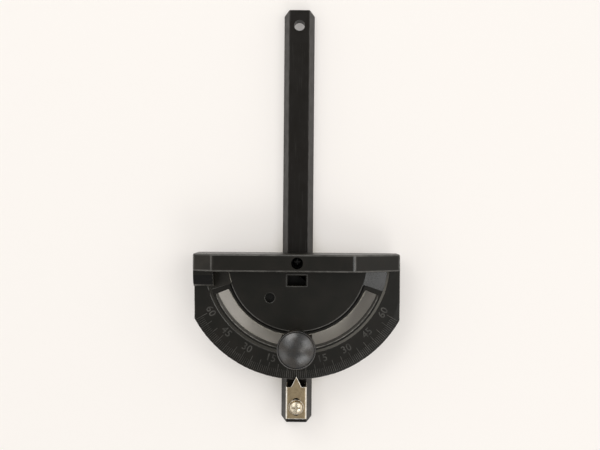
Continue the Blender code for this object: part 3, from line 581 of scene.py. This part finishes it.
work = merged_copy("miter_head")
round_edges(work, CHANNEL_RIM_ROUND, on_channel_rim, EDGE, 3)
round_edges(work, WINDOW_RIM_ROUND, on_window_rim, EDGE)
round_edges(work, CREST_ROUND, on_left_crest, BRIGHT_HIGHLIGHT)
round_edges(work, SLOT_EDGE_ROUND, on_slot_edge, SLOT_EDGE)
round_edges(work, BUTTRESS_EDGE_ROUND, on_buttress_side, BRIGHT_HIGHLIGHT)
round_edges(work, CREST_ROUND, on_left_shoulder_end, EDGE)
round_edges(work, HEAD_EDGE_ROUND, on_head_edge, EDGE)
round_edges(work, HEAD_FOOT_ROUND, on_head_foot)
for face in work.faces:
    face.material_index = head_finish_of(face)
head_moulding = piece_from(
    work, "head_moulding", head_finish, head_edge_finish, shoulder_finish, shade_finish, palest_highlight_finish,
    wall_finish, end_painted_finish, slot_edge_finish,
)
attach(head_moulding, "head")
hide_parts("miter_head")


# The angle scale is moulded on the head: a raised line at every degree on the sloping rim, longer
# at every fifth, from 60 degrees on one side to 60 on the other. It is paler than the moulding, in
# blotches.
RIM_RADIUS = 0.07375
SLOPE_WIDTH = 0.0054
SLOPE_START = RIM_RADIUS - SLOPE_WIDTH
SLOPE_FALL = math.tan(math.radians(10.0))
LINE_OUTER = 0.0725
LINE_LENGTH = 0.0045
LONG_LINE_LENGTH = 0.0075
LONG_LINE_EVERY = 5.0
LINE_WIDTH = 0.00052
LINE_TAPER = 0.5
LINE_STATIONS = 7
FINE_WIDTH_SHARE = 0.6
LINE_HEIGHT = 0.00026
LINE_SUNK = 0.00008
SCALE_REACH = 60
SCALE_COLOUR = (0.074, 0.070, 0.062)

scale_finish, tree, shader, place = new_finish("raised_scale_paler", SCALE_COLOUR, 0.36)
mottle(tree, place, shader, 0.0060, 3.0, (0.36, 0.62, 0.25, 1.0), HEAD_COLOUR, SCALE_COLOUR)
grain(tree, place, shader, 0.00030, 2.0, 0.000008)


def combined(tree, x=0.0, y=0.0, z=0.0):
    """A vector from three parts, each a number or an output."""
    node = tree.nodes.new("ShaderNodeCombineXYZ")
    feed(tree, x, node.inputs["X"])
    feed(tree, y, node.inputs["Y"])
    feed(tree, z, node.inputs["Z"])
    return node.outputs[0]


line_inputs = {
    "Reach": ("NodeSocketInt", SCALE_REACH),
    "Outer radius": ("NodeSocketFloat", LINE_OUTER),
    "Length": ("NodeSocketFloat", LINE_LENGTH),
    "Long length": ("NodeSocketFloat", LONG_LINE_LENGTH),
    "Width": ("NodeSocketFloat", LINE_WIDTH),
    "Fine width share": ("NodeSocketFloat", FINE_WIDTH_SHARE),
    "Height": ("NodeSocketFloat", LINE_HEIGHT),
    "Surface height": ("NodeSocketFloat", HEAD_TOP + LINE_HEIGHT / 2 - LINE_SUNK),
    "Slope start": ("NodeSocketFloat", SLOPE_START),
    "Slope fall": ("NodeSocketFloat", SLOPE_FALL),
    "Material": ("NodeSocketMaterial", scale_finish),
}
line_tree = bpy.data.node_groups.new("degree_lines", "GeometryNodeTree")
line_tree.interface.new_socket("Geometry", in_out="INPUT", socket_type="NodeSocketGeometry")
line_sockets = {}
for input_name, (kind, value) in line_inputs.items():
    line_socket = line_tree.interface.new_socket(input_name, in_out="INPUT", socket_type=kind)
    line_sockets[input_name] = line_socket.identifier
line_tree.interface.new_socket("Geometry", in_out="OUTPUT", socket_type="NodeSocketGeometry")
given = line_tree.nodes.new("NodeGroupInput").outputs
line_out = line_tree.nodes.new("NodeGroupOutput")

# One point for each degree, on an arc round the pivot.
line_count = math_node(line_tree, "ADD", math_node(line_tree, "MULTIPLY", given["Reach"], 2.0), 1.0)
stations = line_tree.nodes.new("GeometryNodeMeshLine")
stations.mode = "OFFSET"
line_tree.links.new(line_count, stations.inputs["Count"])
station = line_tree.nodes.new("GeometryNodeInputIndex").outputs[0]
degree = math_node(line_tree, "SUBTRACT", station, given["Reach"])
angle = math_node(line_tree, "RADIANS", degree)
sideways = math_node(line_tree, "MULTIPLY", math_node(line_tree, "SINE", angle), given["Outer radius"])
back = math_node(line_tree, "MULTIPLY", math_node(line_tree, "COSINE", angle), given["Outer radius"])
station_place = combined(
    line_tree, sideways, math_node(line_tree, "MULTIPLY", back, -1.0), given["Surface height"]
)
stand = line_tree.nodes.new("GeometryNodeSetPosition")
line_tree.links.new(stations.outputs["Mesh"], stand.inputs["Geometry"])
line_tree.links.new(station_place, stand.inputs["Position"])

# One line, a metre long so that its length is its scale, that starts at its point and tapers upwards.
bar_shape = line_tree.nodes.new("GeometryNodeMeshCube")
bar_shape.inputs["Vertices Y"].default_value = LINE_STATIONS
bar_size = combined(line_tree, given["Width"], 1.0, given["Height"])
line_tree.links.new(bar_size, bar_shape.inputs["Size"])
local = parts_of(line_tree, line_tree.nodes.new("GeometryNodeInputPosition").outputs[0])
on_top = math_node(line_tree, "GREATER_THAN", local["Z"], 0.0)
taper = math_node(line_tree, "MULTIPLY", math_node(line_tree, "MULTIPLY", local["X"], -LINE_TAPER), on_top)
shape_line = line_tree.nodes.new("GeometryNodeSetPosition")
line_tree.links.new(bar_shape.outputs["Mesh"], shape_line.inputs["Geometry"])
line_tree.links.new(combined(line_tree, taper, 0.5), shape_line.inputs["Offset"])

# The lines spread over the points, every fifth one longer and broader.
fifth = math_node(line_tree, "MODULO", math_node(line_tree, "ABSOLUTE", degree), LONG_LINE_EVERY)
is_fifth = math_node(line_tree, "LESS_THAN", fifth, 0.5)
extra = math_node(line_tree, "SUBTRACT", given["Long length"], given["Length"])
line_length = math_node(
    line_tree, "ADD", math_node(line_tree, "MULTIPLY", is_fifth, extra), given["Length"]
)
thinner = math_node(line_tree, "SUBTRACT", 1.0, given["Fine width share"])
line_breadth = math_node(
    line_tree, "ADD", math_node(line_tree, "MULTIPLY", is_fifth, thinner), given["Fine width share"]
)
spread = line_tree.nodes.new("GeometryNodeInstanceOnPoints")
line_tree.links.new(stand.outputs[0], spread.inputs["Points"])
line_tree.links.new(shape_line.outputs[0], spread.inputs["Instance"])
line_tree.links.new(combined(line_tree, z=angle), spread.inputs["Rotation"])
line_tree.links.new(combined(line_tree, line_breadth, line_length, 1.0), spread.inputs["Scale"])
real_lines = line_tree.nodes.new("GeometryNodeRealizeInstances")
line_tree.links.new(spread.outputs[0], real_lines.inputs[0])

# Past the start of the rim's slope they drop with it.
laid = parts_of(line_tree, line_tree.nodes.new("GeometryNodeInputPosition").outputs[0])
square_x = math_node(line_tree, "MULTIPLY", laid["X"], laid["X"])
square_y = math_node(line_tree, "MULTIPLY", laid["Y"], laid["Y"])
reach_out = math_node(line_tree, "SQRT", math_node(line_tree, "ADD", square_x, square_y))
past_bend = math_node(
    line_tree, "MAXIMUM", math_node(line_tree, "SUBTRACT", reach_out, given["Slope start"]), 0.0
)
fall = math_node(line_tree, "MULTIPLY", past_bend, given["Slope fall"])
drop = math_node(line_tree, "MULTIPLY", fall, -1.0)
drape = line_tree.nodes.new("GeometryNodeSetPosition")
line_tree.links.new(real_lines.outputs[0], drape.inputs["Geometry"])
line_tree.links.new(combined(line_tree, z=drop), drape.inputs["Offset"])
line_material = line_tree.nodes.new("GeometryNodeSetMaterial")
line_tree.links.new(drape.outputs[0], line_material.inputs["Geometry"])
line_tree.links.new(given["Material"], line_material.inputs["Material"])
line_tree.links.new(line_material.outputs[0], line_out.inputs[0])

degree_lines = bpy.data.objects.new("degree_lines", bpy.data.meshes.new("degree_lines_seed"))
bpy.context.scene.collection.objects.link(degree_lines)
spreading = degree_lines.modifiers.new("lines", "NODES")
spreading.node_group = line_tree
for input_name, (kind, value) in line_inputs.items():
    spreading[line_sockets[input_name]] = value


def settle(item, name):
    """Turns an object's evaluated modifiers or text into its own plain mesh."""
    item.update_tag()
    bpy.context.view_layer.update()
    drawn = item.evaluated_get(bpy.context.evaluated_depsgraph_get())
    mesh = bpy.data.meshes.new_from_object(drawn)
    mesh.name = name
    if item.type == "MESH":
        item.modifiers.clear()
        item.data = mesh
        return item
    plain = bpy.data.objects.new(name, mesh)
    bpy.context.scene.collection.objects.link(plain)
    bpy.data.objects.remove(item, do_unlink=True)
    return plain


settle(degree_lines, "degree_lines")
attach(degree_lines, "head")


# The scale's numbers are raised with it in the same moulding, 0 in the middle and 60 at both ends,
# with their tops towards the pivot so that they read from the operator's side.
NUMBER_RADIUS = 0.0623
NUMBER_SIZE = 0.0064
NUMBER_SPACING = 1.05
NUMBER_HEIGHT = 0.00026
NUMBER_EDGE = 0.00006
NUMBER_EVERY = 15

numbers_work = bmesh.new()
for degrees in range(-SCALE_REACH, SCALE_REACH + 1, NUMBER_EVERY):
    text = bpy.data.curves.new("number", "FONT")
    text.body = str(abs(degrees))
    text.size = NUMBER_SIZE
    text.align_x = "CENTER"
    text.align_y = "CENTER"
    text.extrude = NUMBER_HEIGHT / 2
    text.bevel_depth = NUMBER_EDGE
    text.bevel_resolution = 1
    text.resolution_u = 4
    text.space_character = NUMBER_SPACING
    drawn_number = bpy.data.objects.new("number", text)
    bpy.context.scene.collection.objects.link(drawn_number)
    number = settle(drawn_number, "number_mesh")
    turn = Matrix.Rotation(math.radians(degrees), 4, "Z")
    rise = HEAD_TOP + NUMBER_HEIGHT / 2 - LINE_SUNK
    number.data.transform(turn @ Matrix.Translation((0.0, -NUMBER_RADIUS, rise)))
    numbers_work.from_mesh(number.data)
    bpy.data.objects.remove(number, do_unlink=True)
bmesh.ops.remove_doubles(numbers_work, verts=numbers_work.verts, dist=1e-7)
scale_numbers = piece_from(numbers_work, "scale_numbers", scale_finish)
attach(scale_numbers, "head")


# The pivot screw is a small dark-plated pan-head machine screw at the bottom of a deep bore in the
# fence. The head turns on its shank.
PIVOT_COLOUR = (0.085, 0.082, 0.079)
PIVOT_EDGE_ROUND = 0.00012

pivot_finish, tree, shader, place = new_finish("dark_plate", PIVOT_COLOUR, 0.38, 0.9)
pivot_cloud = noise_of(tree, place, 0.0008, 3.0)
tree.links.new(ranged(tree, pivot_cloud, 0.3, 0.7, 0.3, 0.5), shader.inputs["Roughness"])
grain(tree, place, shader, 0.0002, 2.0, 0.000006)

work = merged_copy("pivot_screw")
round_edges(work, PIVOT_EDGE_ROUND, segments=1)
pivot_screw_piece = piece_from(work, "pivot_screw_dressed", pivot_finish)
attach(pivot_screw_piece, "bar")
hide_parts("pivot_screw")


# The clamp washer is a stamped zinc-plated washer in the channel, under the lock knob. The knob
# presses it on the head to hold the angle.
ZINC_COLOUR = (0.86, 0.77, 0.61)
ZINC_DULL_COLOUR = (0.60, 0.53, 0.42)
WASHER_EDGE_ROUND = 0.0002

zinc_finish, tree, shader, place = new_finish("bright_zinc_plate", ZINC_COLOUR, 0.28, 1.0)
zinc_cloud = noise_of(tree, place, 0.0016, 4.0)
zinc_dull = ranged(tree, zinc_cloud, 0.42, 0.68, 0.0, 1.0)
tree.links.new(tinted(tree, zinc_dull, ZINC_COLOUR, ZINC_DULL_COLOUR), shader.inputs["Base Color"])
tree.links.new(ranged(tree, zinc_cloud, 0.3, 0.7, 0.22, 0.42), shader.inputs["Roughness"])
grain(tree, place, shader, 0.00018, 3.0, 0.000006)

work = merged_copy("clamp_washer")
round_edges(work, WASHER_EDGE_ROUND)
washer_piece = piece_from(work, "clamp_washer_dressed", zinc_finish)
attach(washer_piece, "washer")
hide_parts("clamp_washer")


# The lock knob is a moulding in smooth black plastic. Its domed top lies inside a groove and a thin
# lip, and it narrows to a foot on the washer. Turned by hand, it drives its stud into the bar.
KNOB_COLOUR = (0.0105, 0.0100, 0.0100)
KNOB_WARM_COLOUR = (0.0210, 0.0160, 0.0115)
KNOB_STEPS = 96
KNOB_DOME_STEPS = 16
KNOB_LIP_STEPS = 4
KNOB_ROUND_STEPS = 10
KNOB_WAIST_STEPS = 28
KNOB_Y = -0.0508
KNOB_SEAT = 0.0232
KNOB_APEX = 0.0553
KNOB_DOME_RADIUS = 0.0104
KNOB_DOME_FALL = 0.00276
KNOB_DOME_EDGE = (0.00012, 0.00018)
KNOB_GROOVE_RADIUS = 0.0107
KNOB_GROOVE_HEIGHT = 0.0520
KNOB_LIP_RADIUS = 0.0111
KNOB_LIP_HEIGHT = 0.0525
KNOB_LIP_FALL = 0.0020
KNOB_LIP_SHARE = 0.8
KNOB_RADIUS = 0.0117
KNOB_FOOT_RADIUS = 0.0053
KNOB_FOOT_CUT = 0.0004
KNOB_GRIP_END = 0.0485
KNOB_FOOT_TOP = 0.0277
KNOB_SOCKET_RADIUS = 0.0033
KNOB_SOCKET_TOP = 0.0395


def lathe(profile, steps, y):
    """A profile of (radius, height) points, top to bottom, turned about Z at a place along Y."""
    work = bmesh.new()
    rings = []
    for radius, height in profile:
        if radius < 1e-7:
            rings.append([work.verts.new((0.0, y, height))])
            continue
        ring = []
        for index in range(steps):
            turn = 2 * math.pi * index / steps
            ring.append(work.verts.new((radius * math.cos(turn), y + radius * math.sin(turn), height)))
        rings.append(ring)
    for upper, lower in zip(rings, rings[1:]):
        for index in range(steps):
            after = (index + 1) % steps
            corners = [upper[index % len(upper)], lower[index % len(lower)]]
            if len(lower) > 1:
                corners.append(lower[after])
            if len(upper) > 1:
                corners.append(upper[after])
            work.faces.new(corners)
    bmesh.ops.recalc_face_normals(work, faces=work.faces)
    return work


knob_finish, tree, shader, place = new_finish("smooth_black_plastic", KNOB_COLOUR, 0.26, specular=1.0)
knob_handled = noise_of(tree, place, 0.0045, 4.0)
tree.links.new(ranged(tree, knob_handled, 0.35, 0.65, 0.22, 0.31), shader.inputs["Roughness"])
mottle(tree, place, shader, 0.0060, 3.0, (0.42, 0.60, 0.0, 1.0), KNOB_COLOUR, KNOB_WARM_COLOUR)
grain(tree, place, shader, 0.00035, 2.0, 0.000006)

knob_profile = []
for index in range(KNOB_DOME_STEPS + 1):
    share = index / KNOB_DOME_STEPS
    knob_profile.append((KNOB_DOME_RADIUS * share, KNOB_APEX - KNOB_DOME_FALL * share ** 2))
knob_profile.append((KNOB_DOME_RADIUS + KNOB_DOME_EDGE[0], KNOB_APEX - KNOB_DOME_FALL - KNOB_DOME_EDGE[1]))
knob_profile.append((KNOB_GROOVE_RADIUS, KNOB_GROOVE_HEIGHT))
for index in range(KNOB_LIP_STEPS + 1):
    turn = math.radians(180.0 - 90.0 * index / KNOB_LIP_STEPS)
    knob_profile.append((
        KNOB_LIP_RADIUS + (KNOB_LIP_RADIUS - KNOB_GROOVE_RADIUS) * math.cos(turn) * KNOB_LIP_SHARE,
        KNOB_GROOVE_HEIGHT + (KNOB_LIP_HEIGHT - KNOB_GROOVE_HEIGHT) * math.sin(turn),
    ))
for index in range(1, KNOB_ROUND_STEPS + 1):
    turn = math.radians(90.0 * index / KNOB_ROUND_STEPS)
    knob_profile.append((
        KNOB_LIP_RADIUS + (KNOB_RADIUS - KNOB_LIP_RADIUS) * math.sin(turn),
        KNOB_LIP_HEIGHT - KNOB_LIP_FALL * (1 - math.cos(turn)),
    ))
for index in range(KNOB_WAIST_STEPS + 1):
    share = index / KNOB_WAIST_STEPS
    radius = KNOB_FOOT_RADIUS + (KNOB_RADIUS - KNOB_FOOT_RADIUS) * (1 + math.cos(math.pi * share)) / 2
    knob_profile.append((radius, KNOB_GRIP_END + (KNOB_FOOT_TOP - KNOB_GRIP_END) * share))
knob_profile += [
    (KNOB_FOOT_RADIUS, KNOB_SEAT + KNOB_FOOT_CUT), (KNOB_FOOT_RADIUS - KNOB_FOOT_CUT, KNOB_SEAT),
    (KNOB_SOCKET_RADIUS, KNOB_SEAT), (KNOB_SOCKET_RADIUS, KNOB_SOCKET_TOP), (0.0, KNOB_SOCKET_TOP),
]
knob_piece = piece_from(lathe(knob_profile, KNOB_STEPS, KNOB_Y), "lock_knob_dressed", knob_finish)
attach(knob_piece, "knob")
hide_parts("lock_knob")


# The stud is a length of zinc-plated threaded rod moulded into the knob. It passes through the
# washer and the arc slot and screws into the bar.
STUD_RADIUS = 0.0030
STUD_PITCH = 0.0010
STUD_THREAD_DEPTH = 0.0006
STUD_TOP = 0.0392
STUD_TIP = 0.0015
STUD_STEPS = 20

# The thread's profile over one turn: a share of the pitch, and how deep it is cut there.
THREAD_CUT = ((0.0, 0.0), (0.30, 0.0), (0.62, 1.0), (0.72, 1.0))


def threaded(radius, pitch, depth, low, high, y, steps):
    """An upright rod at a place along Y, with a single-start thread and flat ends."""
    work = bmesh.new()
    ring_count = int((high - low) / pitch)
    rings = []
    for ring_index in range(ring_count):
        for share, sunk in THREAD_CUT:
            ring = []
            for index in range(steps):
                turn = 2 * math.pi * index / steps
                height = low + (ring_index + share + index / steps) * pitch
                height = min(max(height, low), high)
                reach = radius - depth * sunk
                ring.append(work.verts.new((reach * math.cos(turn), y + reach * math.sin(turn), height)))
            rings.append(ring)
    for row in range(len(rings) - 1):
        for index in range(steps - 1):
            work.faces.new(
                (rings[row][index], rings[row][index + 1], rings[row + 1][index + 1], rings[row + 1][index])
            )
    for row in range(len(rings) - 1 - len(THREAD_CUT)):
        first = rings[row][steps - 1]
        second = rings[row + 1][steps - 1]
        third = rings[row + 1 + len(THREAD_CUT)][0]
        fourth = rings[row + len(THREAD_CUT)][0]
        work.faces.new((first, fourth, third, second))
    bmesh.ops.holes_fill(work, edges=[edge for edge in work.edges if edge.is_boundary], sides=0)
    bmesh.ops.recalc_face_normals(work, faces=work.faces)
    return work


stud_work = threaded(STUD_RADIUS, STUD_PITCH, STUD_THREAD_DEPTH, STUD_TIP, STUD_TOP, KNOB_Y, STUD_STEPS)
stud_piece = piece_from(stud_work, "lock_stud_threaded", zinc_finish)
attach(stud_piece, "knob")
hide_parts("lock_stud")


# The pointer is folded from thin sheet, down over both sides of the bar's end, with a pointed
# tongue that reaches over the scale. It has a warm nickel plate, dull on the flats; its folds and
# rounded edges are near white, a painted highlight.
POINTER_COLOUR = (0.44, 0.345, 0.215)
POINTER_DULL_COLOUR = (0.33, 0.25, 0.155)
POINTER_HIGHLIGHT_COLOUR = (0.98, 0.95, 0.88)
POINTER_EDGE_ROUND = 0.00030
FOLD_SLANT = (0.15, 0.96)
FOLD_SIDEWAYS = 0.2

pointer_finish, tree, shader, place = new_finish("warm_nickel_plate", POINTER_COLOUR, 0.36, 1.0)
pointer_grain = noise_of(tree, place, 0.0005, 3.0)
pointer_cloud = noise_of(tree, place, 0.0028, 3.0)
pointer_mix = ranged(tree, math_node(tree, "ADD", pointer_grain, pointer_cloud), 0.85, 1.2, 0.0, 1.0)
tree.links.new(tinted(tree, pointer_mix, POINTER_COLOUR, POINTER_DULL_COLOUR), shader.inputs["Base Color"])
tree.links.new(ranged(tree, pointer_grain, 0.3, 0.7, 0.30, 0.46), shader.inputs["Roughness"])
tree.links.new(bumped(tree, pointer_grain, 0.000012), shader.inputs["Normal"])

# Near white on the folds and rounded edges: a painted highlight.
pointer_highlight_finish, tree, shader, place = new_finish("folded_nickel_painted_highlight", POINTER_HIGHLIGHT_COLOUR, 0.30, 1.0)
mottle(tree, place, shader, 0.0022, 3.0, (0.38, 0.62, 0.0, 0.35), POINTER_HIGHLIGHT_COLOUR, POINTER_COLOUR)
grain(tree, place, shader, 0.0004, 2.0, 0.000008)

work = merged_copy("pointer")
round_edges(work, POINTER_EDGE_ROUND, finish=1)
for face in work.faces:
    if leans(face, FOLD_SLANT) and abs(face.normal.x) > FOLD_SIDEWAYS:
        face.material_index = 1
pointer_piece = piece_from(work, "pointer_dressed", pointer_finish, pointer_highlight_finish)
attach(pointer_piece, "pointer")
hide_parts("pointer")


# A pan-head screw with a cross recess and a thin flat washer hold the pointer down on the bar. The
# screw is bright zinc and the washer is plated as the pointer is, whose slot lets it slide to zero.
POINTER_WASHER_ROUND = 0.00022
POINTER_SCREW_ROUND = 0.00012

# The washer's rounded edges take the pointer's near-white painted highlight.
work = merged_copy("pointer_washer")
round_edges(work, POINTER_WASHER_ROUND, finish=1)
pointer_washer_piece = piece_from(work, "pointer_washer_dressed", pointer_finish, pointer_highlight_finish)
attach(pointer_washer_piece, "bar")
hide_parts("pointer_washer")

work = merged_copy("pointer_screw")
round_edges(work, POINTER_SCREW_ROUND, segments=1)
pointer_screw_piece = piece_from(work, "pointer_screw_dressed", zinc_finish)
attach(pointer_screw_piece, "bar")
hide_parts("pointer_screw")
